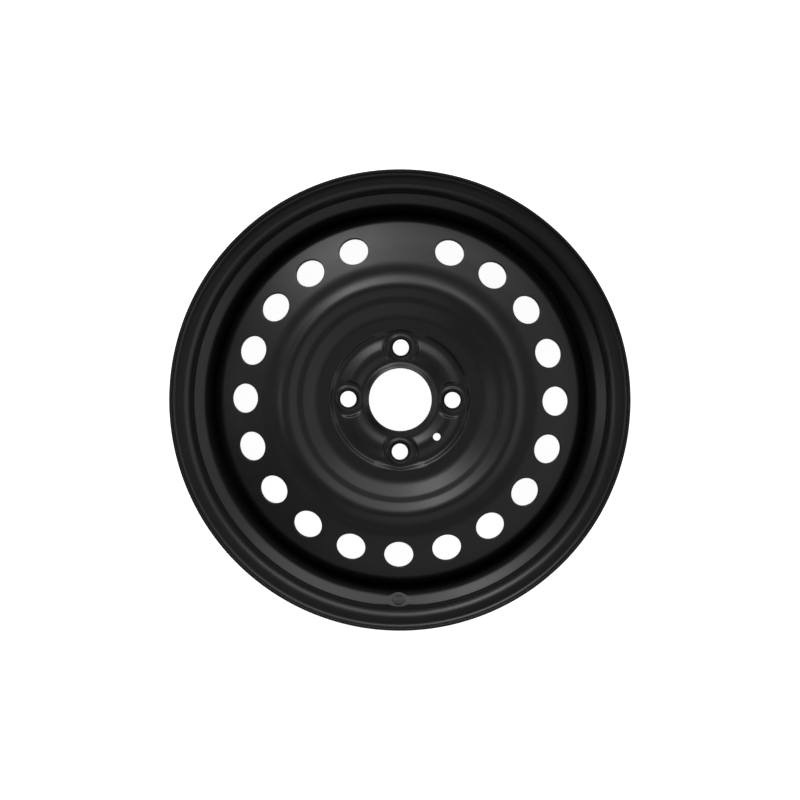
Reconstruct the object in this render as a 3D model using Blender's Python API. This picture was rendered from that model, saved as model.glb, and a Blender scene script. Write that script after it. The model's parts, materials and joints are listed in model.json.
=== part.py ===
"""Pressed steel road wheel: a rolled rim, a pressed wheel disc and the fillet welds that join them.

Lengths are in metres and angles in degrees. The wheel's axis is Z, its outer side faces +Z, and Z = 0 is the
plane midway between the rim's two flanges. The valve hole is at -Y, and the ring of vent holes leaves a bare
place at +Y.
"""

import math

import bmesh
import bpy
from mathutils import Matrix, Vector

# Rim, rolled from one strip
RIM_WIDTH = 0.1651
BEAD_SEAT_RADIUS = 0.2028
RIM_SHEET = 0.0023
FLANGE_HEIGHT = 0.0173
FLANGE_REACH = 0.012
FLANGE_CURL = 0.0095
SEAT_CORNER = 0.0065
SEAT_TAPER = 5.0
SEAT_LENGTH = 0.0198
HUMP_HEIGHT = 0.0011
HUMP_LENGTH = 0.0065
SHOULDER_LAND = 0.0025
SHOULDER_BEND = 0.003
WELL_DEPTH = 0.0223
WELL_WALL_TILT = 32.0
WELL_WALL_RUN = 0.0111
WALL_FOOT_BEND = 0.006
WELL_GRIP = 0.008
WELL_BEND = 0.012
WELL_PAST_WELD = 0.006
LEDGE_RISE = 0.0135
LEDGE_RUN = 0.024
LEDGE_BEND = 0.012

# Valve hole, in a flat pad coined into the well's outer wall
VALVE_HOLE_RADIUS = 0.00565
VALVE_DROP = 0.0072
VALVE_PAD_RADIUS = 0.0087
VALVE_PAD_DEPTH = 0.0003

# Wheel disc, pressed from one sheet
DISC_SHEET = 0.0035
DISC_OFFSET = 0.050
BORE_RADIUS = 0.03005
BORE_COLLAR_WIDTH = 0.0064
BORE_COLLAR_RISE = 0.0032
HUB_FACE_RISE = 0.0033
HUB_FACE_WALL = 0.0042
BOLT_CIRCLE_RADIUS = 0.050
BOLT_COUNT = 4
BOLT_HOLE_RADIUS = 0.0077
BOLT_SEAT_RADIUS = 0.011
BOLT_SEAT_ANGLE = 60.0
BOLT_BOSS_RADIUS = 0.0135
BOLT_BOSS_RISE = 0.0014
BOLT_LAND_RADIUS = 0.0152
LOBE_INSIDE = 0.0135
LOBE_OUTSIDE = 0.0112
LOBE_EDGE = 0.0112
LOBE_END = 0.0032
LOBE_RISE = 0.0031
WALL_FOOT_OUTSIDE = 0.0135
BOWL_FOOT_OUTSIDE = 0.0301
PIN_HOLE_RADIUS = 0.0036
RIDGE_RISE = 0.0108
RIDGE_FALL = 0.0046
RIDGE_FALL_RUN = 0.0102
SHELF_WIDTH = 0.0095
CONE_WIDTH = 0.0479
CONE_TILT_INSIDE = 15.5
CONE_TILT_OUTSIDE = 18.0
BROW_INSET = 0.0056
BROW_BEND = 0.006
FLANGE_TILT = 70.0
DISC_FLANGE_BEND = 0.012
DISC_FLANGE_DEPTH = 0.036
FOOT_BEND = 0.016
RIDGE_BEND = 0.012
SHELF_BEND = 0.026
BOWL_BEND = 0.0085

# Where the flatter step in the bowl begins and ends, as shares of the bowl's own width and rise
BOWL_STEP = ((0.437, 0.497), (0.627, 0.577))

# Vent holes, on even spaces with the one at the top left out
VENT_SPACES = 20
VENT_HALF_LENGTH = 0.01395
VENT_HALF_WIDTH = 0.01285
VENT_INSET = 0.0288

# Fillet welds between the disc's flange and the rim's well
WELD_COUNT = 8
WELD_LENGTH = 0.055
WELD_LEG = 0.004
WELD_TURN = 22.5

# Clearance between pieces that touch
SEAT_GAP = 0.0003

# Facets: sides of a full turn, sides of a hole, the longest step of a bend, rings across the hub face
FACETS = 60
HOLE_SIDES = 16
BEND_STEP = 32.0
HUB_RINGS = 9

# Paint of each piece: colour, roughness
RIM_PAINT = ((0.012, 0.012, 0.012, 1.0), 0.42)
DISC_PAINT = ((0.013, 0.013, 0.013, 1.0), 0.42)
WELD_PAINT = ((0.011, 0.011, 0.011, 1.0), 0.5)

# Worked out from the sizes above
HALF_RIM_SHEET = RIM_SHEET / 2
HALF_WIDTH = RIM_WIDTH / 2
OUTER_RADIUS = BEAD_SEAT_RADIUS + FLANGE_HEIGHT
LIP_Z = HALF_WIDTH + FLANGE_REACH
WELL_RADIUS = BEAD_SEAT_RADIUS - WELL_DEPTH
WELL_MIDDLE = WELL_RADIUS - HALF_RIM_SHEET
SEAT_END_Z = HALF_WIDTH - SEAT_LENGTH
SHOULDER_Z = SEAT_END_Z - HUMP_LENGTH - SHOULDER_LAND
DISC_FLANGE_RADIUS = WELL_RADIUS - RIM_SHEET - SEAT_GAP
DISC_FLANGE_END_Z = DISC_OFFSET - DISC_FLANGE_DEPTH
WELD_TOP_Z = DISC_FLANGE_END_Z - SEAT_GAP
WELL_INNER_Z = WELD_TOP_Z - WELD_LEG - WELL_PAST_WELD
LOW_Z = DISC_OFFSET + DISC_SHEET
HUB_FACE_Z = LOW_Z + HUB_FACE_RISE
LOBE_INNER_FOOT = BOLT_CIRCLE_RADIUS - LOBE_INSIDE
LOBE_OUTER_FOOT = BOLT_CIRCLE_RADIUS + LOBE_OUTSIDE
WALL_FOOT = BOLT_CIRCLE_RADIUS + WALL_FOOT_OUTSIDE
WALL_TOP = WALL_FOOT + HUB_FACE_WALL + SEAT_GAP
BOWL_FOOT = BOLT_CIRCLE_RADIUS + BOWL_FOOT_OUTSIDE
CONE_START = DISC_FLANGE_RADIUS - CONE_WIDTH
SHELF_START = CONE_START - SHELF_WIDTH
RIDGE_RADIUS = SHELF_START - RIDGE_FALL_RUN
RIDGE_Z = HUB_FACE_Z + RIDGE_RISE
SHELF_Z = RIDGE_Z - RIDGE_FALL
VENT_RING_RADIUS = DISC_FLANGE_RADIUS - VENT_INSET
VENT_Z = SHELF_Z - (VENT_RING_RADIUS - CONE_START) * math.tan(math.radians(CONE_TILT_INSIDE))
BROW_RADIUS = DISC_FLANGE_RADIUS - BROW_INSET
BROW_Z = VENT_Z - (BROW_RADIUS - VENT_RING_RADIUS) * math.tan(math.radians(CONE_TILT_OUTSIDE))
FLANGE_TOP_Z = BROW_Z - BROW_INSET * math.tan(math.radians(FLANGE_TILT))
WELL_TOP_Z = DISC_FLANGE_END_Z + WELL_GRIP
CUT_MARGIN = 2 * max(RIM_SHEET, DISC_SHEET)


def clear_scene():
    """Remove every object that the scene starts with."""
    for item in list(bpy.data.objects):
        bpy.data.objects.remove(item, do_unlink=True)


def make_paint(name, paint):
    """A Principled material from a (colour, roughness) pair."""
    colour, roughness = paint
    material = bpy.data.materials.new(name)
    material.use_nodes = True
    shader = material.node_tree.nodes["Principled BSDF"]
    shader.inputs["Base Color"].default_value = colour
    shader.inputs["Roughness"].default_value = roughness
    shader.inputs["Metallic"].default_value = 0.0
    return material


def make_object(name, shape, material=None):
    """Turn a bmesh into an object. One with no material is a cutter or a blank, which isn't rendered."""
    bmesh.ops.recalc_face_normals(shape, faces=shape.faces)
    mesh = bpy.data.meshes.new(name)
    shape.to_mesh(mesh)
    shape.free()
    item = bpy.data.objects.new(name, mesh)
    bpy.context.collection.objects.link(item)
    if material is None:
        item.hide_render = True
        item.display_type = "WIRE"
    else:
        mesh.materials.append(material)
        mesh.shade_smooth()
        mesh.set_sharp_from_angle(angle=math.radians(35))
    return item


def add_boolean(item, other, operation):
    """Join or cut one object by another, exactly."""
    modifier = item.modifiers.new(other.name, "BOOLEAN")
    modifier.operation = operation
    modifier.solver = "EXACT"
    modifier.object = other


def rounded(corners):
    """The path through (radius, z, bend) corners, each bend an arc no longer than half its legs allow."""
    path = [Vector(corners[0][:2])]
    for before, corner, after in zip(corners, corners[1:], corners[2:]):
        here = Vector(corner[:2])
        back = Vector(before[:2]) - here
        ahead = Vector(after[:2]) - here
        turn = math.pi - back.angle(ahead)
        reach = min(corner[2] * math.tan(turn / 2), 0.48 * back.length, 0.48 * ahead.length)
        if reach < 1e-6:
            path.append(here)
            continue
        bend = reach / math.tan(turn / 2)
        inward = (back.normalized() + ahead.normalized()).normalized()
        centre = here + inward * bend / math.cos(turn / 2)
        steps = max(1, math.ceil(math.degrees(turn) / BEND_STEP))
        first = here + back.normalized() * reach - centre
        side = math.copysign(1.0, first.cross(here + ahead.normalized() * reach - centre))
        for step in range(steps + 1):
            swing = Matrix.Rotation(side * turn * step / steps, 2)
            path.append(centre + swing @ first)
    path.append(Vector(corners[-1][:2]))
    return path


def offset_path(path, distance):
    """The path moved square to itself, to its right as it runs outward, with its corners mitred."""
    moved = []
    for index, point in enumerate(path):
        back = (point - path[max(index - 1, 0)]).normalized()
        ahead = (path[min(index + 1, len(path) - 1)] - point).normalized()
        along = (back + ahead).normalized()
        square = Vector((along.y, -along.x))
        reference = ahead if ahead.length > 0 else back
        moved.append(point + square * distance / along.dot(reference))
    return moved


def spin_outline(outline):
    """Spin a closed outline of (radius, z) points once round the wheel's axis."""
    shape = bmesh.new()
    points = [shape.verts.new((radius, 0.0, z)) for radius, z in outline]
    edges = [shape.edges.new(pair) for pair in zip(points, points[1:] + points[:1])]
    bmesh.ops.spin(
        shape,
        geom=points + edges,
        axis=(0.0, 0.0, 1.0),
        cent=(0.0, 0.0, 0.0),
        angle=math.tau,
        steps=FACETS,
        use_merge=True,
    )
    return shape


def seat_middle(z):
    """Radius of the middle of the sheet along a bead seat, at a height z above the wheel's centre."""
    taper = math.radians(SEAT_TAPER)
    return BEAD_SEAT_RADIUS - HALF_RIM_SHEET / math.cos(taper) - (HALF_WIDTH - z) * math.tan(taper)


def flange_side():
    """Corners of one side of the rim, from the lip's cut edge over the bead seat to the far end of the hump."""
    flange_z = HALF_WIDTH + HALF_RIM_SHEET
    lip_radius = OUTER_RADIUS - HALF_RIM_SHEET
    hump_z = SEAT_END_Z - HUMP_LENGTH / 2
    hump_end_z = SEAT_END_Z - HUMP_LENGTH
    return [
        (lip_radius, LIP_Z, 0.0),
        (lip_radius, flange_z, FLANGE_CURL - HALF_RIM_SHEET),
        (seat_middle(flange_z), flange_z, SEAT_CORNER + HALF_RIM_SHEET),
        (seat_middle(SEAT_END_Z), SEAT_END_Z, 0.0),
        (seat_middle(hump_z) + HUMP_HEIGHT, hump_z, 0.0),
        (seat_middle(hump_end_z), hump_end_z, 0.0),
    ]


def well_wall_point(drop, lift):
    """A point on the well's outer wall: drop along it from the shoulder, lift off the sheet's middle."""
    tilt = math.radians(WELL_WALL_TILT)
    radius = seat_middle(SHOULDER_Z) - drop * math.cos(tilt) - lift * math.sin(tilt)
    z = SHOULDER_Z - drop * math.sin(tilt) + lift * math.cos(tilt)
    return radius, z


def rim_outline():
    """The rim's closed section: the sheet's middle line, moved half a thickness to each side."""
    wall_foot = seat_middle(SHOULDER_Z) - WELL_WALL_RUN
    wall_foot_z = SHOULDER_Z - WELL_WALL_RUN * math.tan(math.radians(WELL_WALL_TILT))
    well = [
        (seat_middle(SHOULDER_Z), SHOULDER_Z, SHOULDER_BEND + HALF_RIM_SHEET),
        (wall_foot, wall_foot_z, WALL_FOOT_BEND + HALF_RIM_SHEET),
        (WELL_MIDDLE, WELL_TOP_Z, WELL_BEND),
        (WELL_MIDDLE, WELL_INNER_Z, LEDGE_BEND),
        (WELL_MIDDLE + LEDGE_RISE, WELL_INNER_Z - LEDGE_RUN, LEDGE_BEND),
    ]
    outer_side = flange_side()
    inner_side = [(radius, -z, bend) for radius, z, bend in reversed(outer_side)]
    middle = rounded(outer_side + well + inner_side)
    return offset_path(middle, HALF_RIM_SHEET) + offset_path(middle, -HALF_RIM_SHEET)[::-1]


def make_plug(radii, heights, place, sides=HOLE_SIDES):
    """A closed round plug with these radii at these heights, set down by a placement matrix."""
    shape = bmesh.new()
    rings = []
    for radius, height in zip(radii, heights):
        turns = [math.tau * (side + 0.5) / sides for side in range(sides)]
        ring = [Vector((radius * math.cos(turn), radius * math.sin(turn), height)) for turn in turns]
        rings.append([shape.verts.new(place @ point) for point in ring])
    for lower, upper in zip(rings, rings[1:]):
        for side in range(sides):
            after = (side + 1) % sides
            shape.faces.new((lower[side], lower[after], upper[after], upper[side]))
    shape.faces.new(rings[0][::-1])
    shape.faces.new(rings[-1])
    return shape


def merge_shapes(shapes):
    """One bmesh that holds all of these, which don't touch each other."""
    whole = bmesh.new()
    for shape in shapes:
        mesh = bpy.data.meshes.new("merged")
        shape.to_mesh(mesh)
        shape.free()
        whole.from_mesh(mesh)
        bpy.data.meshes.remove(mesh)
    return whole


def tilted_place(turn, radius, z, tilt):
    """Placement at (radius, z) on the ray at this turn, with its own Z leaning outward by the tilt."""
    return (
        Matrix.Rotation(math.radians(turn), 4, "Z")
        @ Matrix.Translation((radius, 0.0, z))
        @ Matrix.Rotation(math.radians(tilt), 4, "Y")
    )


def make_rim():
    """The rim: the spun section with a coined pad and the valve hole in the well's outer wall."""
    rim = make_object("rim", spin_outline(rim_outline()), make_paint("rim_paint", RIM_PAINT))
    radius, z = well_wall_point(VALVE_DROP, HALF_RIM_SHEET)
    place = tilted_place(-90.0, radius, z, -WELL_WALL_TILT)
    pad = make_plug((VALVE_PAD_RADIUS,) * 2, (-VALVE_PAD_DEPTH, CUT_MARGIN), place)
    hole = make_plug((VALVE_HOLE_RADIUS,) * 2, (-CUT_MARGIN, CUT_MARGIN), place)
    add_boolean(rim, make_object("valve_pad_cutter", pad), "DIFFERENCE")
    add_boolean(rim, make_object("valve_hole_cutter", hole), "DIFFERENCE")
    return rim


def ease(share):
    """A smooth rise from 0 to 1 as the share goes from 0 to 1."""
    share = min(max(share, 0.0), 1.0)
    return share * share * (3 - 2 * share)


def bolt_places():
    """The bolt holes' centres, as points in the XY plane."""
    turns = [math.tau * bolt / BOLT_COUNT for bolt in range(BOLT_COUNT)]
    return [Vector((math.cos(turn), math.sin(turn))) * BOLT_CIRCLE_RADIUS for turn in turns]


def hub_relief(x, y):
    """Height of the pressed hub face above its low level: bore collar, lobes between the bolts, outer wall."""
    radius = math.hypot(x, y)
    from_bolt = min((place - Vector((x, y))).length for place in bolt_places())
    off_land = from_bolt - BOLT_LAND_RADIUS
    collar = BORE_COLLAR_RISE * ease((BORE_RADIUS + BORE_COLLAR_WIDTH - radius) / BORE_COLLAR_WIDTH)
    lobe = LOBE_RISE * ease(min(radius - LOBE_INNER_FOOT, LOBE_OUTER_FOOT - radius) / LOBE_EDGE)
    lobe *= ease(off_land / LOBE_END)
    wall = HUB_FACE_RISE * ease(min(radius - WALL_FOOT, off_land) / HUB_FACE_WALL)
    return max(collar, lobe, wall)


def disc_outline():
    """The disc's closed section: the outer surface from bore to flange end, and the same a sheet below it."""
    ring_step = (WALL_TOP - BORE_RADIUS) / HUB_RINGS
    hub_top = [Vector((BORE_RADIUS + ring * ring_step, LOW_Z)) for ring in range(HUB_RINGS)]
    bowl_width = RIDGE_RADIUS - BOWL_FOOT
    step = [
        (BOWL_FOOT + width * bowl_width, HUB_FACE_Z + rise * RIDGE_RISE, BOWL_BEND)
        for width, rise in BOWL_STEP
    ]
    corners = [
        (WALL_TOP, HUB_FACE_Z, 0.0),
        (BOWL_FOOT, HUB_FACE_Z, FOOT_BEND),
        *step,
        (RIDGE_RADIUS, RIDGE_Z, RIDGE_BEND),
        (SHELF_START, SHELF_Z, SHELF_BEND),
        (CONE_START, SHELF_Z, SHELF_BEND),
        (VENT_RING_RADIUS, VENT_Z, 0.0),
        (BROW_RADIUS, BROW_Z, BROW_BEND),
        (DISC_FLANGE_RADIUS, FLANGE_TOP_Z, DISC_FLANGE_BEND),
        (DISC_FLANGE_RADIUS, DISC_FLANGE_END_Z, 0.0),
    ]
    dish_top = rounded(corners)
    hub_under = [point - Vector((0.0, DISC_SHEET)) for point in hub_top]
    dish_under = offset_path(dish_top, DISC_SHEET)
    return hub_top + dish_top + dish_under[::-1] + hub_under[::-1]


def press_hub_face(shape):
    """Raise the spun blank's hub face, both sides of the sheet alike."""
    edge = WALL_TOP - (WALL_TOP - BORE_RADIUS) / (2 * HUB_RINGS)
    for vertex in shape.verts:
        if math.hypot(vertex.co.x, vertex.co.y) < edge:
            vertex.co.z += hub_relief(vertex.co.x, vertex.co.y)


def bolt_seat_shapes():
    """Each bolt's raised boss, and the hole with the conical seat that is cut through it."""
    crest_z = LOW_Z + BOLT_BOSS_RISE
    seat_depth = (BOLT_SEAT_RADIUS - BOLT_HOLE_RADIUS) / math.tan(math.radians(BOLT_SEAT_ANGLE / 2))
    cone_radius = BOLT_SEAT_RADIUS + CUT_MARGIN * math.tan(math.radians(BOLT_SEAT_ANGLE / 2))
    boss_heights = (LOW_Z - DISC_SHEET / 2, LOW_Z, crest_z)
    boss_radii = (BOLT_BOSS_RADIUS, BOLT_BOSS_RADIUS, BOLT_SEAT_RADIUS + SEAT_GAP)
    seat_heights = (DISC_OFFSET - CUT_MARGIN, crest_z - seat_depth, crest_z + CUT_MARGIN)
    seat_radii = (BOLT_HOLE_RADIUS, BOLT_HOLE_RADIUS, cone_radius)
    places = [Matrix.Translation((*place, 0.0)) for place in bolt_places()]
    bosses = [make_plug(boss_radii, boss_heights, place) for place in places]
    seats = [make_plug(seat_radii, seat_heights, place) for place in places]
    return merge_shapes(bosses), merge_shapes(seats)


def vent_shapes():
    """Cutters for the vent holes, square to the cone, at every even space but the one at +Y."""
    tilt = (CONE_TILT_INSIDE + CONE_TILT_OUTSIDE) / 2
    cuts = []
    for space in range(1, VENT_SPACES):
        turn = 90.0 + 360.0 * space / VENT_SPACES
        place = tilted_place(turn, VENT_RING_RADIUS, VENT_Z, tilt)
        oval = Matrix.Diagonal((VENT_HALF_WIDTH, VENT_HALF_LENGTH, 1.0, 1.0))
        cuts.append(make_plug((1.0, 1.0), (-2 * CUT_MARGIN, 2 * CUT_MARGIN), place @ oval))
    return merge_shapes(cuts)


def pin_shape():
    """Cutter for the locating pin's hole, on the bolt circle midway between two bolts."""
    turn = -180.0 / BOLT_COUNT
    place = tilted_place(turn, BOLT_CIRCLE_RADIUS, LOW_Z, 0.0)
    return make_plug((PIN_HOLE_RADIUS,) * 2, (-2 * CUT_MARGIN, 2 * CUT_MARGIN), place)


def make_disc():
    """The wheel disc: the spun section with its hub face pressed, then bosses, bolt seats, pin and vent holes."""
    blank = spin_outline(disc_outline())
    press_hub_face(blank)
    disc = make_object("wheel_disc", blank, make_paint("disc_paint", DISC_PAINT))
    bosses, seats = bolt_seat_shapes()
    add_boolean(disc, make_object("bolt_bosses", bosses), "UNION")
    add_boolean(disc, make_object("bolt_seat_cutter", seats), "DIFFERENCE")
    add_boolean(disc, make_object("pin_hole_cutter", pin_shape()), "DIFFERENCE")
    add_boolean(disc, make_object("vent_hole_cutter", vent_shapes()), "DIFFERENCE")
    return disc


def facet_share(turn):
    """How far in a faceted ring lies at this turn (radians), as a share of its radius at a corner."""
    step = math.tau / FACETS
    return math.cos(step / 2) / math.cos(turn % step - step / 2)


def weld_shape(middle):
    """One weld round this turn (radians): a rounded fillet section carried along the flange's end."""
    half = WELD_LENGTH / DISC_FLANGE_RADIUS / 2
    step = math.tau / FACETS
    clear = step / 8
    first = math.ceil((middle - half + clear) / step)
    last = math.floor((middle + half - clear) / step)
    turns = [middle - half, *(step * corner for corner in range(first, last + 1)), middle + half]
    face = [math.radians(angle) for angle in (0, 30, 60, 90)]
    section = [(DISC_FLANGE_RADIUS, WELD_TOP_Z)]
    section += [
        (DISC_FLANGE_RADIUS - DISC_SHEET * math.cos(angle), WELD_TOP_Z - WELD_LEG * math.sin(angle))
        for angle in face
    ]
    shape = bmesh.new()
    rings = []
    for turn in turns:
        share = facet_share(turn)
        ring = [(share * r * math.cos(turn), share * r * math.sin(turn), z) for r, z in section]
        rings.append([shape.verts.new(point) for point in ring])
    for here, there in zip(rings, rings[1:]):
        for side in range(len(section)):
            after = (side + 1) % len(section)
            shape.faces.new((here[side], here[after], there[after], there[side]))
    shape.faces.new(rings[0])
    shape.faces.new(rings[-1][::-1])
    return shape


def make_welds():
    """The weld beads, evenly round the wheel."""
    paint = make_paint("weld_paint", WELD_PAINT)
    for bead in range(WELD_COUNT):
        middle = math.radians(WELD_TURN) + math.tau * bead / WELD_COUNT
        make_object(f"weld_bead_{bead + 1}", weld_shape(middle), paint)


clear_scene()
make_rim()
make_disc()
make_welds()
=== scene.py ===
"""Looks of a pressed steel road wheel: a satin black rim, the disc welded into it and the weld beads behind.

Lengths are in metres. The wheel's axis is Z, its outer side faces +Z and the valve hole is at -Y. Each metal
sheet is drawn as a section in the (radius, z) plane, carried once round the axis, and every punched hole is a
patch of rings that joins the two faces of its sheet.
"""

from __future__ import annotations

import json
import logging
import math
from collections.abc import Callable, Sequence
from dataclasses import dataclass, field
from enum import Enum
from typing import Any

import bmesh
import bpy
import numpy as np
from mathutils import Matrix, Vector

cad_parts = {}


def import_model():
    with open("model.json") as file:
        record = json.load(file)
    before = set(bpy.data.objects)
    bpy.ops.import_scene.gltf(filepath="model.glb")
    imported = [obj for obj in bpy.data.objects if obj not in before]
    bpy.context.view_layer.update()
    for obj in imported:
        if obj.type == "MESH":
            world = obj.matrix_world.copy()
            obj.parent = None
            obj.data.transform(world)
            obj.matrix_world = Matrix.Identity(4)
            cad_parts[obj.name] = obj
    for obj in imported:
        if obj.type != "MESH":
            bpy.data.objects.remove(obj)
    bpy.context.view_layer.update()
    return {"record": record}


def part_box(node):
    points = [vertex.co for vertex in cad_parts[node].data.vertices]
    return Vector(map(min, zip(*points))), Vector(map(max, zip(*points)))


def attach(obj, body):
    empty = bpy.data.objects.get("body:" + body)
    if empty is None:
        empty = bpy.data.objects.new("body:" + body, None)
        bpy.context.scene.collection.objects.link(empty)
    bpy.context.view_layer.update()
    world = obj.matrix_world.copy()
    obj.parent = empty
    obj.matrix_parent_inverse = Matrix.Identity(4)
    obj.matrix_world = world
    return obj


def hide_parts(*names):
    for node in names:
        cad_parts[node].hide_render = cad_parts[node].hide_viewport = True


log = logging.getLogger("wheel")

Array = np.ndarray

COLUMNS = 240
BOLT_TURNS = np.radians([0.0, 90.0, 180.0, 270.0])
VALVE_TURN = math.radians(-90.0)
SEAT_GAP = 0.0003


class Face(Enum):
    """The two faces of a sheet, by which side of its drawn line they lie on."""

    NEAR = "near"
    FAR = "far"


def ease(share: Array) -> Array:
    """Rise smoothly from 0 to 1 as the share does: three of its squares less two of its cubes."""
    share = np.clip(share, 0.0, 1.0)
    return share * share * (3.0 - 2.0 * share)


def polar(radius: Array, turn: Array, z: Array) -> Array:
    """Points at these radii, turns and heights.

    Args:
        radius: Distances from the wheel's axis.
        turn: Angles round it, from +X towards +Y.
        z: Heights.

    Returns:
        The points, with X, Y and Z in a last dimension.
    """
    radius, turn, z = np.broadcast_arrays(radius, turn, z)
    return np.stack([radius * np.cos(turn), radius * np.sin(turn), z], axis=-1)


@dataclass(frozen=True)
class Corner:
    """A corner of a section's drawn line, its bend's radius and the longest step on the run after it."""

    radius: float
    z: float
    bend: float = 0.0
    gap: float = 0.0028


@dataclass(frozen=True)
class Line:
    """A section's drawn line: its points, its square directions and the length run up to each point."""

    points: Array
    squares: Array
    runs: Array

    @staticmethod
    def through(corners: Sequence[Corner], bend_step: float) -> Line:
        """Draw straight runs between corners and an arc at each.

        An arc's centre lies on the corner's bisector, and it touches both legs. Square directions point
        to the right of the way that the line runs.

        Args:
            corners: The corners in order. The first and the last have no bend.
            bend_step: The largest turn, in radians, between two points of an arc.

        Returns:
            The line.
        """
        spots = np.array([(corner.radius, corner.z) for corner in corners])
        legs = np.diff(spots, axis=0)
        lengths = np.linalg.norm(legs, axis=1)
        ways = legs / lengths[:, None]
        turns = np.arctan2(
            ways[:-1, 0] * ways[1:, 1] - ways[:-1, 1] * ways[1:, 0], np.sum(ways[:-1] * ways[1:], axis=1)
        )
        wanted = np.array([corner.bend for corner in corners[1:-1]]) * np.tan(np.abs(turns) / 2)
        reaches = np.minimum(wanted, 0.48 * np.minimum(lengths[:-1], lengths[1:]))
        starts = np.concatenate([[0.0], reaches])
        ends = lengths - np.concatenate([reaches, [0.0]])
        points: list[Array] = []
        squares: list[Array] = []
        for leg, way in enumerate(ways):
            steps = max(1, math.ceil((ends[leg] - starts[leg]) / corners[leg].gap))
            along = np.linspace(starts[leg], ends[leg], steps + 1)
            points.append(spots[leg] + along[:, None] * way)
            squares.append(np.broadcast_to([way[1], -way[0]], (steps + 1, 2)))
            if leg == len(ways) - 1:
                break
            turn = turns[leg]
            bend = reaches[leg] / math.tan(abs(turn) / 2)
            side = math.copysign(1.0, turn)
            inward = side * np.array([-way[1], way[0]])
            centre = spots[leg] + ends[leg] * way + bend * inward
            steps = max(2, math.ceil(abs(turn) / bend_step))
            swing = np.linspace(0.0, turn, steps + 1)[1:-1]
            spoke = -inward
            around = np.stack(
                [
                    spoke[0] * np.cos(swing) - spoke[1] * np.sin(swing),
                    spoke[0] * np.sin(swing) + spoke[1] * np.cos(swing),
                ],
                axis=1,
            )
            points.append(centre + bend * around)
            squares.append(side * around)
        drawn = np.concatenate(points)
        runs = np.concatenate([[0.0], np.cumsum(np.linalg.norm(np.diff(drawn, axis=0), axis=1))])
        return Line(drawn, np.concatenate(squares), runs)

    def face(self, lift: float) -> Array:
        """The line moved square to itself by this lift, to its right."""
        return self.points + lift * self.squares

    def at(self, run: Array, lift: float) -> tuple[Array, Array]:
        """Radius and height of the line at these runs, moved square to itself by this lift."""
        moved = self.face(lift)
        return np.interp(run, self.runs, moved[:, 0]), np.interp(run, self.runs, moved[:, 1])


@dataclass(frozen=True)
class Section:
    """A sheet's closed section, and which of its rows belong to each of its two faces."""

    rows: Array
    near: Array
    far: Array

    @staticmethod
    def around(line: Line, near_lift: float, far_lift: float, edge: float) -> Section:
        """Walk out along one face, round the sheet's end, back along the other face and round its start.

        Each of the four corners of the sheet's cut ends is a quarter circle of the edge radius.

        Args:
            line: The sheet's drawn line.
            near_lift: How far the first face lies to the line's right.
            far_lift: How far the second face does.
            edge: Radius of the rounded edges.

        Returns:
            The closed section.
        """
        keep = (line.runs > line.runs[0] + edge) & (line.runs < line.runs[-1] - edge)
        first = Section.end(line, 0, near_lift, far_lift, edge)
        last = Section.end(line, -1, near_lift, far_lift, edge)
        near = line.face(near_lift)[keep]
        far = line.face(far_lift)[keep][::-1]
        rows = np.concatenate([near, last, far, first[::-1]])
        near_rows = np.arange(len(near))
        far_rows = np.arange(len(near) + len(last), len(near) + len(last) + len(far))[::-1]
        return Section(rows, near_rows, far_rows)

    @staticmethod
    def end(line: Line, spot: int, near_lift: float, far_lift: float, edge: float) -> Array:
        """The rounded end of a sheet at the line's first or last point, from the near face to the far one."""
        point = line.points[spot]
        square = line.squares[spot] * math.copysign(1.0, far_lift - near_lift)
        step = line.points[1] - line.points[0] if spot == 0 else line.points[-1] - line.points[-2]
        out = step / np.linalg.norm(step) * (-1.0 if spot == 0 else 1.0)
        swing = np.radians(np.linspace(0.0, 90.0, 5))[:, None]
        near_centre = point + line.squares[spot] * near_lift + (square - out) * edge
        far_centre = point + line.squares[spot] * far_lift + (-square - out) * edge
        near_arc = near_centre + edge * (np.sin(swing) * out - np.cos(swing) * square)
        far_arc = far_centre + edge * (np.cos(swing) * out + np.sin(swing) * square)
        return np.concatenate([near_arc, far_arc])


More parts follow.
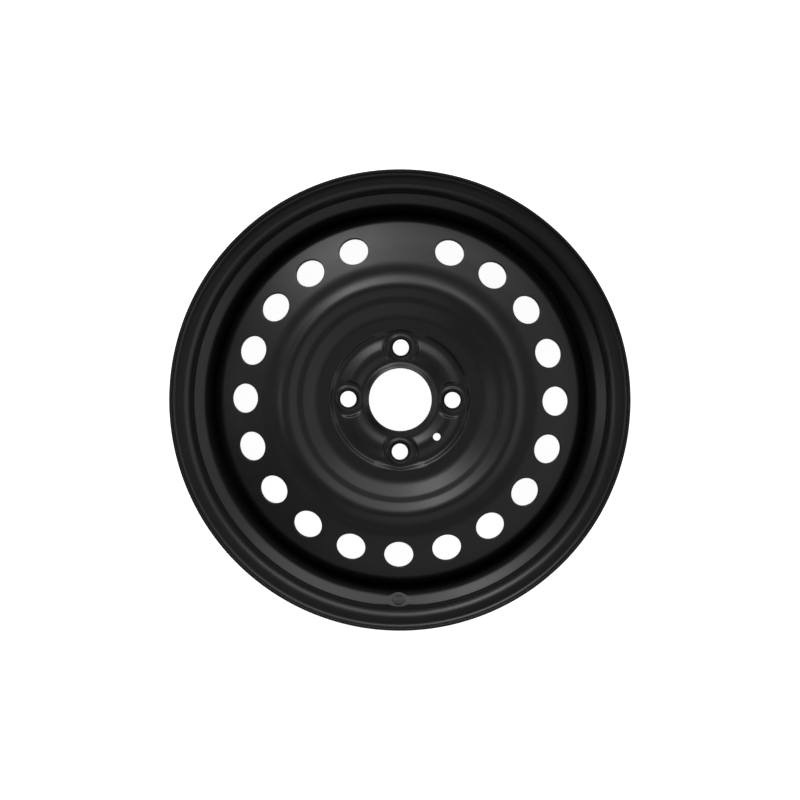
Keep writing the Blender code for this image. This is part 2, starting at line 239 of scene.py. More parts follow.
class Shell:
    """Points and four-sided faces of a piece, gathered as arrays and made into one mesh."""

    def __init__(self) -> None:
        """Start with nothing."""
        self.points: list[Array] = []
        self.quads: list[Array] = []
        self.fans: list[Array] = []
        self.count = 0

    def add(self, points: Array) -> Array:
        """Add points and return their numbers, in an array of the same form."""
        numbers = self.count + np.arange(points[..., 0].size).reshape(points.shape[:-1])
        self.points.append(points.reshape(-1, 3))
        self.count += numbers.size
        return numbers

    def lattice(self, numbers: Array, keep: Array | None = None, ring: bool = True) -> None:
        """Join a lattice of points by faces.

        Args:
            numbers: The points' numbers, in rows and columns. The columns go once round and meet.
            keep: True for each cell that gets its face, or None for all.
            ring: Whether the last row meets the first.
        """
        after = np.roll(numbers, -1, axis=0)
        cells = np.stack([numbers, np.roll(numbers, -1, 1), np.roll(after, -1, 1), after], axis=-1)
        if not ring:
            cells = cells[:-1]
            keep = keep[:-1] if keep is not None else None
        self.quads.append(cells.reshape(-1, 4) if keep is None else cells[keep])

    def close(self, ring: Array, hub: Array) -> None:
        """Close an open end with triangles.

        Args:
            ring: Numbers of the end's points, in order.
            hub: The point in the end's middle, where they meet.
        """
        hubs = np.broadcast_to(self.add(hub[None]), ring.shape)
        self.fans.append(np.stack([ring, np.roll(ring, -1), hubs], axis=1))

    def build(self, name: str, material: bpy.types.Material) -> bpy.types.Object:
        """Make the mesh object, its faces turned outward and shaded smooth.

        Args:
            name: The piece's name.
            material: Its finish.

        Returns:
            The object, at the origin.
        """
        mesh = bpy.data.meshes.new(name)
        faces = [face for part in (*self.quads, *self.fans) for face in part.tolist()]
        mesh.from_pydata(np.concatenate(self.points), [], faces)
        shape = bmesh.new()
        shape.from_mesh(mesh)
        bmesh.ops.recalc_face_normals(shape, faces=shape.faces)
        shape.to_mesh(mesh)
        shape.free()
        mesh.shade_smooth()
        mesh.materials.append(material)
        piece = bpy.data.objects.new(name, mesh)
        bpy.context.collection.objects.link(piece)
        return piece


def block_border(rows: tuple[int, int], columns: tuple[int, int]) -> tuple[Array, Array]:
    """Row and column numbers once round a block of a lattice.

    Args:
        rows: The block's first and last row.
        columns: Its first and last column.

    Returns:
        The row and the column of each border point, in order.
    """
    low, high = rows
    left, right = columns
    across = np.arange(left, right)
    down = np.arange(low, high)
    row = np.concatenate([np.full(across.size, low), down, np.full(across.size, high), down[::-1] + 1])
    column = np.concatenate([across, np.full(down.size, right), across[::-1] + 1, np.full(down.size, left)])
    return row, column


@dataclass(frozen=True)
class Mouth:
    """One face's end of a hole: rings on the face, going inward, then rings that sink into the hole."""

    flat: tuple[float, ...]
    sunk: tuple[tuple[float, float], ...]
    fill: int = 4

    @staticmethod
    def punched(radius: float, edge: float, collar: float, flat_rings: int = 2) -> Mouth:
        """A plain hole whose edge is a quarter circle, in a collar of round rings.

        Args:
            radius: The hole's radius.
            edge: The edge's radius.
            collar: Width of the face outside the edge that has round rings.
            flat_rings: How many rings that takes.

        Returns:
            The mouth.
        """
        flat = np.linspace(radius + edge + collar, radius + edge, flat_rings + 1)
        swing = np.radians((22.5, 45.0, 67.5, 90.0))
        sunk = zip(radius + edge * (1.0 - np.sin(swing)), edge * (1.0 - np.cos(swing)))
        return Mouth(tuple(flat), tuple((float(r), float(d)) for r, d in sunk))


def open_mouth(
    shell: Shell,
    border: Array,
    border_at: Array,
    mouth: Mouth,
    place: Callable[[Array, Array], Array],
) -> Array:
    """Fill a block round a hole with rings that go from its border to the hole.

    The first rings lie between the border and a circle in even shares, the next are circles on the face, and
    the last are circles that sink below it.

    Args:
        shell: The piece's points and faces.
        border: Numbers of the block's border points, in order.
        border_at: Their places in the hole's own plane, from its middle.
        mouth: The rings.
        place: Gives points in space from places in the plane and depths below the face.

    Returns:
        Numbers of the last ring's points.
    """
    turn = np.arctan2(border_at[:, 1], border_at[:, 0])
    round_once = np.stack([np.cos(turn), np.sin(turn)], axis=1)
    shares = np.linspace(0.0, 1.0, mouth.fill + 1)[1:-1, None, None]
    filled = (1.0 - shares) * border_at + shares * mouth.flat[0] * round_once
    flat = np.array(mouth.flat)[:, None, None] * round_once
    sunk = np.array([radius for radius, _ in mouth.sunk])[:, None, None] * round_once
    at = np.concatenate([filled, flat, sunk])
    depths = np.concatenate([np.zeros(len(filled) + len(flat)), [depth for _, depth in mouth.sunk]])
    numbers = shell.add(place(at, np.broadcast_to(depths[:, None], at.shape[:2])))
    rings = np.concatenate([border[None], numbers])
    shell.lattice(rings, ring=False)
    return rings[-1]


@dataclass(frozen=True)
class Spot:
    """A hole's middle, with the ways along the section, round the wheel and out of the face.

    The way along the section is as long as the squeeze, so a circle in the spot's plane is an oval there.
    """

    middle: Array
    along: Array
    across: Array
    out: Array
    squeeze: float = 1.0

    @staticmethod
    def on(turn: float, radius: float, z: float, tilt: float, squeeze: float = 1.0) -> Spot:
        """The spot at this turn, radius and height, its face leaning away from the axis by the tilt."""
        ray = np.array([math.cos(turn), math.sin(turn), 0.0])
        up = np.array([0.0, 0.0, 1.0])
        along = math.cos(tilt) * ray - math.sin(tilt) * up
        out = math.sin(tilt) * ray + math.cos(tilt) * up
        across = np.array([-math.sin(turn), math.cos(turn), 0.0])
        return Spot(radius * ray + z * up, squeeze * along, across, out, squeeze)

    def flatten(self, points: Array) -> Array:
        """Places of points in the spot's own plane."""
        away = points - self.middle
        return np.stack([away @ self.along / self.squeeze**2, away @ self.across], axis=-1)

    def raise_up(self, at: Array, height: Array) -> Array:
        """Points in space over places in the plane."""
        flat = self.middle + at[..., :1] * self.along + at[..., 1:] * self.across
        return flat + height[..., None] * self.out


class Wire:
    """A shader value that is written with Python's operators."""

    def __init__(self, ink: Ink, socket: bpy.types.NodeSocket) -> None:
        """Wrap a socket of this node tree."""
        self.ink = ink
        self.socket = socket

    def _math(self, operation: str, *values: Any) -> Wire:
        """Add one Math node."""
        return self.ink.node("ShaderNodeMath", {"operation": operation}, dict(enumerate(values)))

    def __add__(self, other: Any) -> Wire:
        """This plus other."""
        return self._math("ADD", self, other)

    def __radd__(self, other: Any) -> Wire:
        """Other plus this."""
        return self._math("ADD", other, self)

    def __sub__(self, other: Any) -> Wire:
        """This less other."""
        return self._math("SUBTRACT", self, other)

    def __mul__(self, other: Any) -> Wire:
        """This times other."""
        return self._math("MULTIPLY", self, other)

    def clear(self) -> Wire:
        """This kept between 0 and 1."""
        return self._math("MINIMUM", self._math("MAXIMUM", self, 0.0), 1.0)


class Ink:
    """A material's or the world's node tree, and the one way in which nodes are added to it."""

    def __init__(self, tree: bpy.types.NodeTree) -> None:
        """Take this tree and empty it."""
        self.tree = tree
        tree.nodes.clear()

    def node(
        self,
        kind: str,
        settings: dict[str, Any] | None = None,
        inputs: dict[Any, Any] | None = None,
        out: Any = 0,
    ) -> Wire:
        """Add a node.

        Args:
            kind: The node's type.
            settings: Its attributes, set first.
            inputs: A value or a wire for each named or numbered input.
            out: The output to give back.

        Returns:
            That output, wrapped.
        """
        node = self.tree.nodes.new(kind)
        for name, value in (settings or {}).items():
            setattr(node, name, value)
        for name, value in (inputs or {}).items():
            if isinstance(value, Wire):
                self.tree.links.new(value.socket, node.inputs[name])
            else:
                node.inputs[name].default_value = value
        return Wire(self, node.outputs[out]) if len(node.outputs) else Wire(self, node.inputs[0])


@dataclass(frozen=True)
class SatinPaint:
    """Satin black stoving paint on steel: near black, softly glossy, with a faint orange peel."""

    name: str
    dark: tuple[float, float, float, float] = (0.0068, 0.0068, 0.0070, 1.0)
    pale: tuple[float, float, float, float] = (0.0092, 0.0092, 0.0094, 1.0)
    roughness: float = 0.40
    roughness_swing: float = 0.05
    cloud_scale: float = 45.0
    peel_scale: float = 700.0
    peel_height: float = 0.00002
    peel_strength: float = 0.25

    def make(self) -> bpy.types.Material:
        """Build the material.

        Two depths of black drift into each other over a few centimetres, the gloss drifts with them, and
        a fine even noise stands for the orange peel.

        Returns:
            The material.
        """
        material = bpy.data.materials.new(self.name)
        material.use_nodes = True
        ink = Ink(material.node_tree)
        place = ink.node("ShaderNodeTexCoord", out="Object")
        cloud = ink.node(
            "ShaderNodeTexNoise", None, {"Vector": place, "Scale": self.cloud_scale, "Detail": 3.0}, "Fac"
        )
        peel = ink.node(
            "ShaderNodeTexNoise", None, {"Vector": place, "Scale": self.peel_scale, "Detail": 1.0}, "Fac"
        )
        colour = ink.node(
            "ShaderNodeMix",
            {"data_type": "RGBA"},
            {0: cloud, 6: self.dark, 7: self.pale},
            2,
        )
        gloss = self.roughness + (cloud - 0.5) * self.roughness_swing
        bump = ink.node(
            "ShaderNodeBump",
            None,
            {"Height": peel, "Distance": self.peel_height, "Strength": self.peel_strength},
        )
        shader = ink.node(
            "ShaderNodeBsdfPrincipled",
            None,
            {"Base Color": colour, "Roughness": gloss, "Metallic": 0.0, "Normal": bump},
        )
        ink.node("ShaderNodeOutputMaterial", None, {"Surface": shader})
        return material


@dataclass
class RimBarrel:
    """The rolled rim: two flanges, bead seats with humps, the drop centre and the valve hole's coined pad."""

    outer_radius: float
    lip_z: float
    flange_height: float = 0.0173
    flange_reach: float = 0.012
    sheet: float = 0.0023
    flange_curl: float = 0.0095
    seat_corner: float = 0.0065
    seat_taper: float = math.radians(5.0)
    seat_length: float = 0.0198
    hump_height: float = 0.0011
    hump_length: float = 0.0065
    shoulder_land: float = 0.0025
    shoulder_bend: float = 0.003
    well_depth: float = 0.0223
    wall_tilt: float = math.radians(32.0)
    wall_foot: float = 0.0111
    wall_foot_bend: float = 0.006
    well_top_z: float = 0.022
    well_bend: float = 0.012
    well_inner_z: float = 0.0037
    ledge_rise: float = 0.0135
    ledge_run: float = 0.024
    ledge_bend: float = 0.012
    cut_edge: float = 0.0004
    valve_hole: float = 0.00565
    valve_drop: float = 0.0072
    pad_radius: float = 0.0087
    pad_fade: float = 0.0016
    valve_edge: float = 0.0005
    block_columns: int = 10
    block_reach: float = 0.0125
    paint: SatinPaint = field(default_factory=lambda: SatinPaint("rim_satin_black"))

    def __post_init__(self) -> None:
        """Work out the sizes that follow from the others."""
        self.half_sheet = self.sheet / 2
        self.half_width = self.lip_z - self.flange_reach
        self.seat_radius = self.outer_radius - self.flange_height
        self.seat_end_z = self.half_width - self.seat_length
        self.shoulder_z = self.seat_end_z - self.hump_length - self.shoulder_land
        self.well_middle = self.seat_radius - self.well_depth - self.half_sheet
        self.line = Line.through(self.corners(), math.radians(6.0))

    def seat_middle(self, z: float) -> float:
        """Radius of the sheet's middle along the bead seat's taper at this height."""
        across = self.half_sheet / math.cos(self.seat_taper)
        return self.seat_radius - across - (self.half_width - z) * math.tan(self.seat_taper)

    def flange_side(self) -> list[Corner]:
        """Corners of one side, from the lip over the bead seat to the far end of the hump."""
        flange_z = self.half_width + self.half_sheet
        lip_radius = self.outer_radius - self.half_sheet
        hump_z = self.seat_end_z - self.hump_length / 2
        hump_end_z = self.seat_end_z - self.hump_length
        soft = self.hump_length / 2
        return [
            Corner(lip_radius, self.lip_z),
            Corner(lip_radius, flange_z, self.flange_curl - self.half_sheet),
            Corner(self.seat_middle(flange_z), flange_z, self.seat_corner + self.half_sheet),
            Corner(self.seat_middle(self.seat_end_z), self.seat_end_z, soft),
            Corner(self.seat_middle(hump_z) + self.hump_height, hump_z, soft),
            Corner(self.seat_middle(hump_end_z), hump_end_z, soft),
        ]

    def corners(self) -> list[Corner]:
        """Corners of the sheet's middle line, from the outer lip to the inner one."""
        outer = self.flange_side()
        inner = [Corner(corner.radius, -corner.z, corner.bend) for corner in reversed(outer)]
        foot_z = self.shoulder_z - self.wall_foot * math.tan(self.wall_tilt)
        return [
            *outer,
            Corner(self.seat_middle(self.shoulder_z), self.shoulder_z, self.shoulder_bend + self.half_sheet),
            Corner(
                self.seat_middle(self.shoulder_z) - self.wall_foot,
                foot_z,
                self.wall_foot_bend + self.half_sheet,
            ),
            Corner(self.well_middle, self.well_top_z, self.well_bend),
            Corner(self.well_middle, self.well_inner_z, self.ledge_bend),
            Corner(self.well_middle + self.ledge_rise, self.well_inner_z - self.ledge_run, self.ledge_bend),
            *inner,
        ]

    def valve_spot(self) -> Spot:
        """Where the valve hole is: a spot on the sheet's middle, its way out being to the air side."""
        radius = self.seat_middle(self.shoulder_z) - self.valve_drop * math.cos(self.wall_tilt)
        z = self.shoulder_z - self.valve_drop * math.sin(self.wall_tilt)
        return Spot.on(VALVE_TURN, radius, z, -self.wall_tilt)

    def valve_run(self) -> float:
        """Length along the line up to the point nearest to the valve hole's middle."""
        spot = self.valve_spot()
        runs = np.linspace(0.0, self.line.runs[-1] / 2, 20001)
        radius, z = self.line.at(runs, 0.0)
        away = np.hypot(radius - np.hypot(*spot.middle[:2]), z - spot.middle[2])
        return float(runs[np.argmin(away)])

    def build(self) -> bpy.types.Object:
        """Carry the section once round, then open the valve hole through a flat pad.

        Returns:
            The rim's piece.
        """
        section = Section.around(self.line, -self.half_sheet, self.half_sheet, self.cut_edge)
        turns = VALVE_TURN + 2 * np.pi * (np.arange(COLUMNS) - COLUMNS // 2) / COLUMNS
        shell = Shell()
        lattice = polar(section.rows[:, :1], turns[None], section.rows[:, 1:])
        numbers = shell.add(lattice)
        runs = self.line.runs
        kept = (runs > runs[0] + self.cut_edge) & (runs < runs[-1] - self.cut_edge)
        away = runs[kept] - self.valve_run()
        rows = (int(np.argmax(away > -self.block_reach)), int(np.argmax(away > self.block_reach)))
        half = self.block_columns // 2
        columns = (COLUMNS // 2 - half, COLUMNS // 2 + half)
        keep = np.ones(numbers.shape, bool)
        rings = []
        for face, face_rows in ((Face.NEAR, section.near), (Face.FAR, section.far)):
            used = face_rows[rows[0] : rows[1] + 1]
            keep[min(used) : max(used), columns[0] : columns[1]] = False
            ring = self.open_valve(shell, numbers, lattice, face, face_rows, rows, columns, away, turns)
            rings.append(ring)
        shell.lattice(numbers, keep)
        shell.lattice(np.stack(rings), ring=False)
        return shell.build("rim_barrel", self.paint.make())

    def open_valve(
        self,
        shell: Shell,
        numbers: Array,
        lattice: Array,
        face: Face,
        face_rows: Array,
        rows: tuple[int, int],
        columns: tuple[int, int],
        away: Array,
        turns: Array,
    ) -> Array:
        """Fill the block round the valve hole on one face.

        A place in the block is a run along the section and a length round the wheel. Inside the pad the face is
        the pad's plane, outside it is the spun sheet, and the two fade into each other over a narrow ring.

        Args:
            shell: The piece's points and faces.
            numbers: Numbers of the lattice's points.
            lattice: The points themselves.
            face: Which face.
            face_rows: The lattice's rows on it.
            rows: First and last row of the block, counted along the face.
            columns: Its first and last column.
            away: Run of each row from the hole's middle.
            turns: Turn of each column.

        Returns:
            Numbers of the hole's last ring on this face.
        """
        spot = self.valve_spot()
        lift = -self.half_sheet if face is Face.NEAR else self.half_sheet
        middle_run = self.valve_run()
        middle_radius = float(np.hypot(*spot.middle[:2]))
        row, column = block_border(rows, columns)
        border = numbers[face_rows[row], column]
        border_at = np.stack([away[row], (turns[column] - VALVE_TURN) * middle_radius], axis=1)

        def place(at: Array, depth: Array) -> Array:
            """Points over places on the pad and the sheet round it."""
            radius, z = self.line.at(middle_run + at[..., 0], lift)
            spun = polar(radius, VALVE_TURN + at[..., 1] / middle_radius, z)
            inward = at * np.array([-1.0, 1.0])
            flat = spot.raise_up(inward, lift * (1.0 - np.minimum(depth / self.half_sheet, 1.0)))
            from_middle = np.hypot(at[..., 0], at[..., 1])
            fade = ease((self.pad_radius + self.pad_fade - from_middle) / self.pad_fade)[..., None]
            return (1.0 - fade) * spun + fade * flat

        collar = self.pad_radius + self.pad_fade - self.valve_hole - self.valve_edge
        mouth = Mouth.punched(self.valve_hole, self.valve_edge, collar, 8)
        return open_mouth(shell, border, border_at, mouth, place)


@dataclass
class WheelDisc:
    """The pressed disc: hub face with bolt seats, bowl, ridge, vented cone and the flange in the rim."""

    flange_radius: float
    flange_end_z: float
    mount_z: float
    sheet: float = 0.0035
    bore: float = 0.03005
    collar_width: float = 0.0064
    collar_rise: float = 0.0032
    face_rise: float = 0.0033
    face_wall: float = 0.0042
    bolt_circle: float = 0.050
    bolt_hole: float = 0.0077
    bolt_seat: float = 0.011
    seat_half_angle: float = math.radians(30.0)
    boss_radius: float = 0.0135
    boss_rise: float = 0.0014
    land_radius: float = 0.0152
    land_wall: float = 0.0028
    lobe_inside: float = 0.0135
    lobe_outside: float = 0.0112
    lobe_edge: float = 0.0112
    lobe_end: float = 0.0032
    lobe_rise: float = 0.0031
    wall_foot_outside: float = 0.0135
    bowl_foot_outside: float = 0.0301
    pin_hole: float = 0.0036
    ridge_rise: float = 0.0108
    ridge_fall: float = 0.0044
    ridge_fall_run: float = 0.0092
    shelf_width: float = 0.0105
    cone_width: float = 0.0479
    cone_tilt_inside: float = math.radians(15.5)
    cone_tilt_outside: float = math.radians(18.0)
    brow_inset: float = 0.0056
    brow_bend: float = 0.006
    flange_tilt: float = math.radians(70.0)
    flange_bend: float = 0.012
    foot_bend: float = 0.016
    ridge_bend: float = 0.012
    shelf_bend: float = 0.026
    bowl_bend: float = 0.0085
    dome_bend: float = 0.2
    bowl_step: tuple[tuple[float, float], ...] = ((0.437, 0.497), (0.627, 0.577))
    vent_spaces: int = 20
    vent_half_length: float = 0.01395
    vent_half_width: float = 0.01285
    vent_inset: float = 0.0288
    punch_edge: float = 0.0007
    break_edge: float = 0.0003
    cut_edge: float = 0.0005
    paint: SatinPaint = field(default_factory=lambda: SatinPaint("disc_satin_black"))

    def __post_init__(self) -> None:
        """Work out the sizes that follow from the others."""
        self.low_z = self.mount_z + self.sheet
        self.face_z = self.low_z + self.face_rise
        self.wall_foot = self.bolt_circle + self.wall_foot_outside
        self.wall_top = self.wall_foot + self.face_wall + SEAT_GAP
        self.vent_ring = self.flange_radius - self.vent_inset
        self.line = Line.through(self.corners(), math.radians(6.0))
        self.section = Section.around(self.line, 0.0, self.sheet, self.cut_edge)
        self.turns = 2 * np.pi * np.arange(COLUMNS) / COLUMNS

    def corners(self) -> list[Corner]:
        """Corners of the outer face, from the bore out to the flange's end, with the hub face still flat."""
        cone_start = self.flange_radius - self.cone_width
        shelf_start = cone_start - self.shelf_width
        ridge_radius = shelf_start - self.ridge_fall_run
        ridge_z = self.face_z + self.ridge_rise
        shelf_z = ridge_z - self.ridge_fall
        bowl_foot = self.bolt_circle + self.bowl_foot_outside
        bowl_width = ridge_radius - bowl_foot
        vent_z = shelf_z - (self.vent_ring - cone_start) * math.tan(self.cone_tilt_inside)
        brow = self.flange_radius - self.brow_inset
        brow_z = vent_z - (brow - self.vent_ring) * math.tan(self.cone_tilt_outside)
        flange_z = brow_z - self.brow_inset * math.tan(self.flange_tilt)
        self.vent_z = vent_z
        return [
            Corner(self.bore, self.face_z, 0.0, 0.0009),
            Corner(bowl_foot, self.face_z, self.foot_bend),
            *(
                Corner(bowl_foot + width * bowl_width, self.face_z + rise * self.ridge_rise, self.bowl_bend)
                for width, rise in self.bowl_step
            ),
            Corner(ridge_radius, ridge_z, self.ridge_bend),
            Corner(shelf_start, shelf_z, self.shelf_bend),
            Corner(cone_start, shelf_z, self.shelf_bend),
            Corner(self.vent_ring, vent_z, self.dome_bend),
            Corner(brow, brow_z, self.brow_bend),
            Corner(self.flange_radius, flange_z, self.flange_bend),
            Corner(self.flange_radius, self.flange_end_z),
        ]

    def from_bolt(self, points: Array) -> Array:
        """Distance in the XY plane from each point to the nearest bolt hole's middle."""
        bolts = polar(self.bolt_circle, BOLT_TURNS, 0.0)
        return np.min(
            [np.hypot(points[..., 0] - bolt[0], points[..., 1] - bolt[1]) for bolt in bolts], axis=0
        )

    def relief(self, points: Array, face: Face) -> Array:
        """Height of the pressed hub face against the flat face outside it, at each point.

        It is the full rise below that face, less whichever is highest of the bore's collar, the lobes between
        the bolts and the wall at the hub face's rim. The raised boss round each bolt shows on the outer face.

        Args:
            points: Points whose X and Y count.
            face: Which face of the sheet.

        Returns:
            The heights, 0 outside the hub face.
        """
        radius = np.hypot(points[..., 0], points[..., 1])
        bolt = self.from_bolt(points)
        land = ease((bolt - self.land_radius) / self.land_wall)
        collar = self.collar_rise * ease((self.bore + self.collar_width - radius) / self.collar_width)
        inner = ease((radius - self.bolt_circle + self.lobe_inside) / self.lobe_edge)
        outer = ease((self.bolt_circle + self.lobe_outside - radius) / self.lobe_edge)
        lobe = self.lobe_rise * inner * outer * ease((bolt - self.land_radius) / self.lobe_end)
        wall = self.face_rise * ease((radius - self.wall_foot) / self.face_wall) * land
        boss = self.boss_rise * ease((self.boss_radius - bolt) / (self.boss_radius - self.bolt_seat))
        raised = np.maximum(np.maximum(collar, lobe), wall)
        if face is Face.NEAR:
            raised = np.maximum(raised, boss)
        return np.where(radius < self.wall_top, raised - self.face_rise, 0.0)

    def height(self, points: Array, face: Face) -> Array:
        """Height of a face over each point's X and Y, inside the flange's bend."""
        lift = 0.0 if face is Face.NEAR else self.sheet
        drawn = self.line.face(lift)
        radius = np.hypot(points[..., 0], points[..., 1])
        return np.interp(radius, drawn[:, 0], drawn[:, 1]) + self.relief(points, face)

    def press(self, points: Array) -> Array:
        """Press the lattice's hub face, both faces and the bore's edge alike."""
        halfway = len(self.section.near)
        outer_face = np.arange(len(points)) < halfway
        rise = np.where(
            outer_face[:, None], self.relief(points, Face.NEAR), self.relief(points, Face.FAR)
        )
        points[..., 2] += rise
        return points

    def build(self) -> bpy.types.Object:
        """Carry the section once round, press the hub face and open every hole.

        Returns:
            The disc's piece.
        """
        shell = Shell()
        rows = self.section.rows
        lattice = self.press(polar(rows[:, :1], self.turns[None], rows[:, 1:]))
        numbers = shell.add(lattice)
        keep = np.ones(numbers.shape, bool)
        tilt = (self.cone_tilt_inside + self.cone_tilt_outside) / 2
        for space in range(1, self.vent_spaces):
            turn = math.radians(90.0) + 2 * math.pi * space / self.vent_spaces
            squeeze = self.vent_half_width / self.vent_half_length
            spot = Spot.on(turn, self.vent_ring, self.vent_z, tilt, squeeze)
            near = Mouth.punched(self.vent_half_length, self.punch_edge, 0.0012)
            far = Mouth.punched(self.vent_half_length, self.break_edge, 0.0012)
            self.open_hole(shell, numbers, lattice, keep, spot, 0.0168, near, far)
        for turn in BOLT_TURNS:
            spot = Spot.on(float(turn), self.bolt_circle, self.low_z, 0.0)
            far = Mouth.punched(self.bolt_hole, self.break_edge, self.land_radius - self.bolt_hole, 8)
            self.open_hole(shell, numbers, lattice, keep, spot, 0.0187, self.bolt_mouth(), far)
        spot = Spot.on(math.radians(-45.0), self.bolt_circle, self.face_z, 0.0)
        near = Mouth.punched(self.pin_hole, self.break_edge, 0.0012)
        self.open_hole(shell, numbers, lattice, keep, spot, 0.0062, near, near)
        shell.lattice(numbers, keep)
        return shell.build("pressed_disc", self.paint.make())

    def bolt_mouth(self) -> Mouth:
        """A bolt hole's outer end: the land, the raised boss, then the conical seat down to the hole."""
        depth = (self.bolt_seat - self.bolt_hole) / math.tan(self.seat_half_angle)
        flat = tuple(np.linspace(self.land_radius + self.land_wall, self.bolt_seat, 16))
        shares = (0.06, 0.14, 0.35, 0.6, 0.85, 1.0)
        blunt = (0.35, 0.7, 1.0, 1.0, 1.0, 1.0)
        sunk = tuple(
            (self.bolt_seat - share * (self.bolt_seat - self.bolt_hole), share * depth * soft)
            for share, soft in zip(shares, blunt)
        )
        return Mouth(flat, sunk)

    def open_hole(
        self,
        shell: Shell,
        numbers: Array,
        lattice: Array,
        keep: Array,
        spot: Spot,
        reach: float,
        near: Mouth,
        far: Mouth,
    ) -> None:
        """Open one hole through both faces.

        A place in the hole's plane is carried along the hole's axis until it meets the face: each step moves it
        by what it still misses, times the cosine of the face's tilt.

        Args:
            shell: The piece's points and faces.
            numbers: Numbers of the lattice's points.
            lattice: The points themselves.
            keep: Which cells keep their face; the block's cells are taken out.
            spot: The hole's place.
            reach: Least half size of the block.
            near: The hole's outer end.
            far: Its inner end.
        """
        radius = float(np.hypot(*spot.middle[:2]))
        turn = math.atan2(spot.middle[1], spot.middle[0])
        drawn = self.section.rows[self.section.near]
        slope = spot.out[2]
        low = int(np.searchsorted(drawn[:, 0], radius - reach * slope)) - 1
        high = int(np.searchsorted(drawn[:, 0], radius + reach * slope))
        step = 2 * math.pi / COLUMNS
        left = math.floor((turn - reach / radius) / step)
        right = math.ceil((turn + reach / radius) / step)
        row, column = block_border((low, high), (left, right))
        rings = []
        ends = ((Face.NEAR, self.section.near, near), (Face.FAR, self.section.far, far))
        for face, face_rows, mouth in ends:
            used = face_rows[[low, high]]
            cells = np.arange(left, right) % COLUMNS
            keep[min(used) : max(used), cells] = False
            border = numbers[face_rows[row], column % COLUMNS]
            border_at = spot.flatten(lattice[face_rows[row], column % COLUMNS])
            sink = -1.0 if face is Face.NEAR else 1.0

            def place(at: Array, depth: Array) -> Array:
                """Points on the face over places in the hole's plane, sunk by their depths."""
                level = depth > 0
                rim_at = np.where(level[..., None], at[len(at) - np.sum(level[:, 0]) - 1], at)
                height = np.zeros(at.shape[:-1])
                for _ in range(8):
                    points = spot.raise_up(rim_at, height)
                    height -= (points[..., 2] - self.height(points, face)) * slope
                return spot.raise_up(at, height + sink * depth)

            rings.append(open_mouth(shell, border, border_at, mouth, place))
        shell.lattice(np.stack(rings), ring=False)


@dataclass
class WeldBead:
    """One fillet weld between the disc's flange and the well: a rippled quarter round with blunt ends."""

    number: int
    flange_radius: float
    top_z: float
    leg_in: float = 0.0035
    leg_down: float = 0.004
    length: float = 0.055
    first_turn: float = math.radians(22.5)
    beads: int = 8
    ripple: float = 0.00018
    ripple_pitch: float = 0.0016
    along: int = 140
    across: int = 12

    def build(self, material: bpy.types.Material) -> bpy.types.Object:
        """Carry a quarter round along the flange's end.

        Its two legs shrink towards each end as a quarter circle does, and its face rises and falls in ripples
        that bow along the run, as each drop of metal freezes over the one before.

        Args:
            material: The finish of all the beads.

        Returns:
            The bead's piece.
        """
        middle = self.first_turn + 2 * math.pi * (self.number - 1) / self.beads
        along = np.linspace(-1.0, 1.0, self.along)
        end = 0.08
        close = np.clip((1.0 - np.abs(along)) / end, 0.0, 1.0)
        size = np.sqrt(np.clip(1.0 - (1.0 - close) ** 2, 0.0004, 1.0))[:, None]
        swing = np.linspace(0.0, np.pi / 2, self.across)[None]
        bow = 0.35 * np.sin(2 * swing)
        wave = np.sin(2 * np.pi * along[:, None] * self.length / 2 / self.ripple_pitch + 3.0 * bow)
        swell = 1.0 - (self.ripple * (1.0 - wave) / self.leg_in) * np.sin(2 * swing)
        inward = self.leg_in * size * swell * np.cos(swing)
        down = self.leg_down * size * swell * np.sin(swing)
        root = np.zeros((self.along, 1))
        inward = np.concatenate([inward, root], axis=1)
        down = np.concatenate([down, root], axis=1)
        turn = middle + along[:, None] * self.length / 2 / self.flange_radius
        points = polar(self.flange_radius - inward, turn, self.top_z - down)
        shell = Shell()
        numbers = shell.add(points)
        shell.lattice(numbers, ring=False)
        for end in (0, -1):
            shell.close(numbers[end], points[end].mean(axis=0))
        return shell.build(f"fillet_weld_{self.number}", material)


@dataclass(frozen=True)
class Lamp:
    """A soft box: its bearing clockwise from the picture's top, angle off the axis, sizes and strength."""

    name: str
    bearing: float
    off_axis: float
    width: float
    height: float
    watts: float
    distance: float = 3.0

    def build(self) -> None:
        """Hang the lamp, facing the wheel."""
        bearing, lean = math.radians(self.bearing), math.radians(self.off_axis)
        light = bpy.data.lights.new(self.name, "AREA")
        light.shape = "RECTANGLE"
        light.size = self.width
        light.size_y = self.height
        light.energy = self.watts
        lamp = bpy.data.objects.new(self.name, light)
        lamp.location = (
            self.distance * math.sin(lean) * math.sin(bearing),
            self.distance * math.sin(lean) * math.cos(bearing),
            self.distance * math.cos(lean),
        )
        lamp.rotation_euler = (-lean, 0.0, -bearing)
        bpy.context.collection.objects.link(lamp)


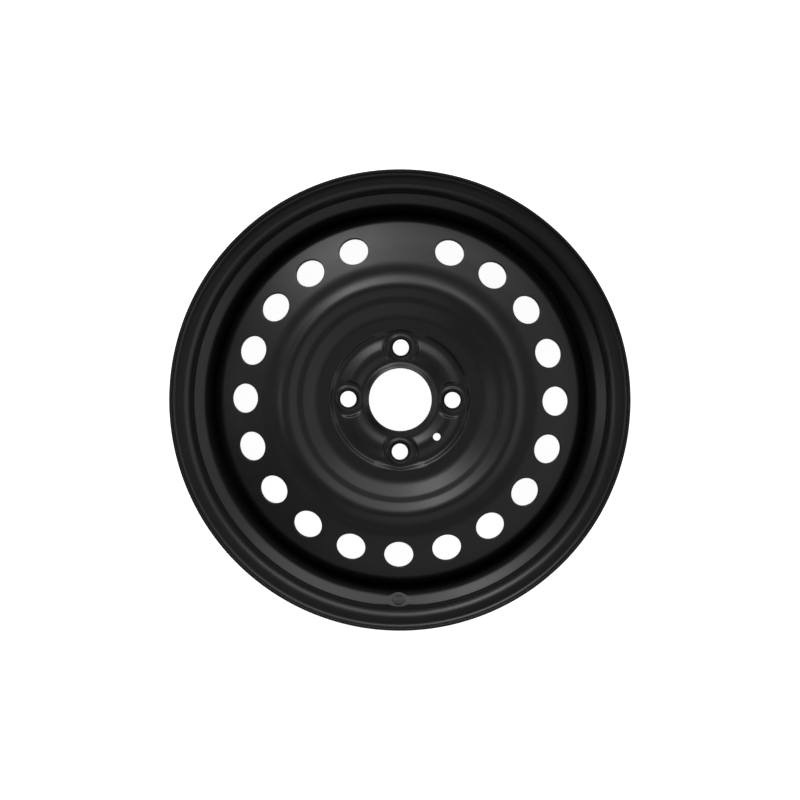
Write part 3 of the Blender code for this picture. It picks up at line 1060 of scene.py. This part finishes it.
@dataclass(frozen=True)
class Studio:
    """The plain room: a white floor, a soft grey surround, lamps and the camera over the wheel.

    Right and up are the picture's own directions, +X and +Y. The camera stands right of and above the axis by
    the first pair of lengths and aims at a point that is off it by the second pair.
    """

    floor_z: float
    aim_z: float
    surround: float = 0.06
    floor_glow: float = 0.96
    floor_in_gloss: float = 0.22
    distance: float = 5.5
    lens: float = 259.7
    right: float = 0.072
    up: float = 0.054
    aim_right: float = -0.00026
    aim_up: float = 0.00073
    roll: float = math.radians(0.55)
    floor_size: float = 12.0
    clip_end: float = 50.0
    sensor_width: float = 36.0
    white: tuple[float, ...] = (1.0, 1.0, 1.0, 1.0)
    pale: tuple[float, ...] = (0.8, 0.8, 0.8, 1.0)

    def build(self) -> None:
        """Put up the floor, the surround, the lamps and the camera."""
        self.lay_floor()
        self.paint_surround()
        for lamp in (
            Lamp("key_soft_box", 336.0, 48.0, 0.86, 1.83, 42.0),
            Lamp("top_soft_box", 22.0, 55.0, 1.9, 1.8, 29.0),
            Lamp("right_fill", 95.0, 58.0, 3.2, 2.8, 23.0),
            Lamp("lower_fill", 172.0, 55.0, 3.2, 2.8, 15.0),
            Lamp("left_strip", 269.0, 60.0, 0.12, 1.7, 8.0),
        ):
            lamp.build()
        self.hang_camera()

    def lay_floor(self) -> None:
        """A pale matt floor that looks white from above and still takes the wheel's shadow."""
        half = self.floor_size / 2
        mesh = bpy.data.meshes.new("floor")
        spots = [(-half, -half, self.floor_z), (half, -half, self.floor_z)]
        spots += [(half, half, self.floor_z), (-half, half, self.floor_z)]
        mesh.from_pydata(spots, [], [(0, 1, 2, 3)])
        floor = bpy.data.objects.new("floor", mesh)
        bpy.context.collection.objects.link(floor)
        material = bpy.data.materials.new("floor_white")
        material.use_nodes = True
        ink = Ink(material.node_tree)
        seen = self.seen(ink)
        matt = ink.node("ShaderNodeBsdfDiffuse", None, {"Color": self.pale})
        glow = ink.node("ShaderNodeEmission", None, {"Color": self.white, "Strength": seen * self.floor_glow})
        both = ink.node("ShaderNodeAddShader", None, {0: matt, 1: glow})
        ink.node("ShaderNodeOutputMaterial", None, {"Surface": both})
        mesh.materials.append(material)

    def seen(self, ink: Ink) -> Wire:
        """Share of the floor's glow that a ray shows: all of it to the camera, less of it off gloss."""
        camera = ink.node("ShaderNodeLightPath", out="Is Camera Ray")
        glossy = ink.node("ShaderNodeLightPath", out="Is Glossy Ray")
        through = ink.node("ShaderNodeLightPath", out="Is Transmission Ray")
        return (camera + glossy * self.floor_in_gloss + through).clear()

    def paint_surround(self) -> None:
        """An even grey light from all round, white where the camera looks straight at it."""
        world = bpy.data.worlds.new("surround")
        bpy.context.scene.world = world
        world.use_nodes = True
        ink = Ink(world.node_tree)
        camera = ink.node("ShaderNodeLightPath", out="Is Camera Ray")
        strength = self.surround + camera * (1.0 - self.surround)
        glow = ink.node("ShaderNodeBackground", None, {"Color": self.white, "Strength": strength})
        ink.node("ShaderNodeOutputWorld", None, {"Surface": glow})

    def hang_camera(self) -> None:
        """Hang the camera over the wheel, right of and above its axis, aimed at the flange's plane."""
        data = bpy.data.cameras.new("camera")
        data.lens = self.lens
        data.sensor_width = self.sensor_width
        data.clip_end = self.clip_end
        camera = bpy.data.objects.new("camera", data)
        camera.location = (self.right, self.up, self.aim_z + self.distance)
        camera.rotation_euler = (
            -math.atan2(self.up - self.aim_up, self.distance),
            math.atan2(self.right - self.aim_right, self.distance),
            self.roll,
        )
        bpy.context.collection.objects.link(camera)
        bpy.context.scene.camera = camera


def keep_piece(piece: bpy.types.Object, nodes: Sequence[str]) -> None:
    """Tie a piece to the wheel's one body, hide the nodes that it stands for, and report it."""
    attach(piece, "root")
    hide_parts(*nodes)
    log.info("%s: %d faces for %s", piece.name, len(piece.data.polygons), ", ".join(nodes))


def main() -> None:
    """Build the wheel round its frame, then the studio."""
    logging.basicConfig(level=logging.INFO, format="%(message)s")
    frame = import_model()
    rim_low, rim_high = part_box("rim")
    disc_low, disc_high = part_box("wheel_disc")
    mount_z = next(mount["pos_m"][2] for mount in frame["record"]["mounts"] if mount["name"] == "hub_face")
    rim = RimBarrel(outer_radius=rim_high[0], lip_z=rim_high[2])
    keep_piece(rim.build(), ["rim"])
    disc = WheelDisc(flange_radius=disc_high[0], flange_end_z=disc_low[2], mount_z=mount_z)
    keep_piece(disc.build(), ["wheel_disc"])
    weld_paint = SatinPaint("weld_satin_black", roughness=0.46).make()
    for number in range(1, 9):
        bead = WeldBead(number, disc.flange_radius, disc.flange_end_z - SEAT_GAP)
        keep_piece(bead.build(weld_paint), [f"weld_bead_{number}"])
    Studio(floor_z=rim_low[2] - SEAT_GAP, aim_z=rim_high[2]).build()
    bpy.context.scene.view_settings.view_transform = "Standard"


if __name__ == "__main__":
    main()
